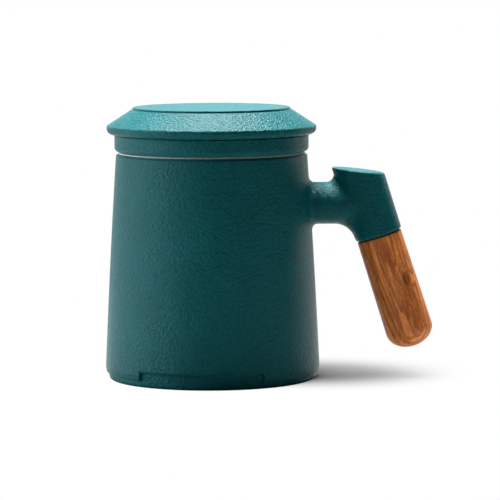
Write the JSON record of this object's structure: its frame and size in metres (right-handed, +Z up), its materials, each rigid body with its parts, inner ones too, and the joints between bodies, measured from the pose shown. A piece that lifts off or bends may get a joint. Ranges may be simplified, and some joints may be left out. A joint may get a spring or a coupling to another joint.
{
  "type": "lidded tea mug with infuser",
  "caption": "Tapered stoneware tea mug with a lift-off lid, a perforated ceramic infuser and a side handle with a turned wooden grip.",
  "frame": {"origin": "on the cup's axis, in the plane that the foot ring stands on", "axes": "+Z up along the cup's axis, +X towards the handle, which lies in the XZ plane; the picture looks along +Y"},
  "size_m": [0.1405, 0.0916, 0.1166],
  "materials": {
    "teal_glaze": "matt deep teal glaze with a fine pebbled relief",
    "turned_wood": "oiled red-brown hardwood, turned, with dark streaks and a knot",
    "dark_rubber": "matt black silicone washer",
    "stud_steel": "plain turned steel",
    "insert_brass": "plain turned brass"
  },
  "bodies": {
    "cup": {"cup_body": "teal_glaze", "handle_grip": "turned_wood", "grip_washer": "dark_rubber", "grip_stud": "stud_steel", "socket_insert": "insert_brass"},
    "infuser": {"infuser": "teal_glaze"},
    "lid": {"lid": "teal_glaze"}
  },
  "joints": [
    {"name": "infuser_lift", "type": "slide", "parent": "cup", "child": "infuser", "axis": [0, 0, 1], "range_m": [0, 0.08]},
    {"name": "lid_lift", "type": "slide", "parent": "infuser", "child": "lid", "axis": [0, 0, 1], "range_m": [0, 0.05]}
  ]
}
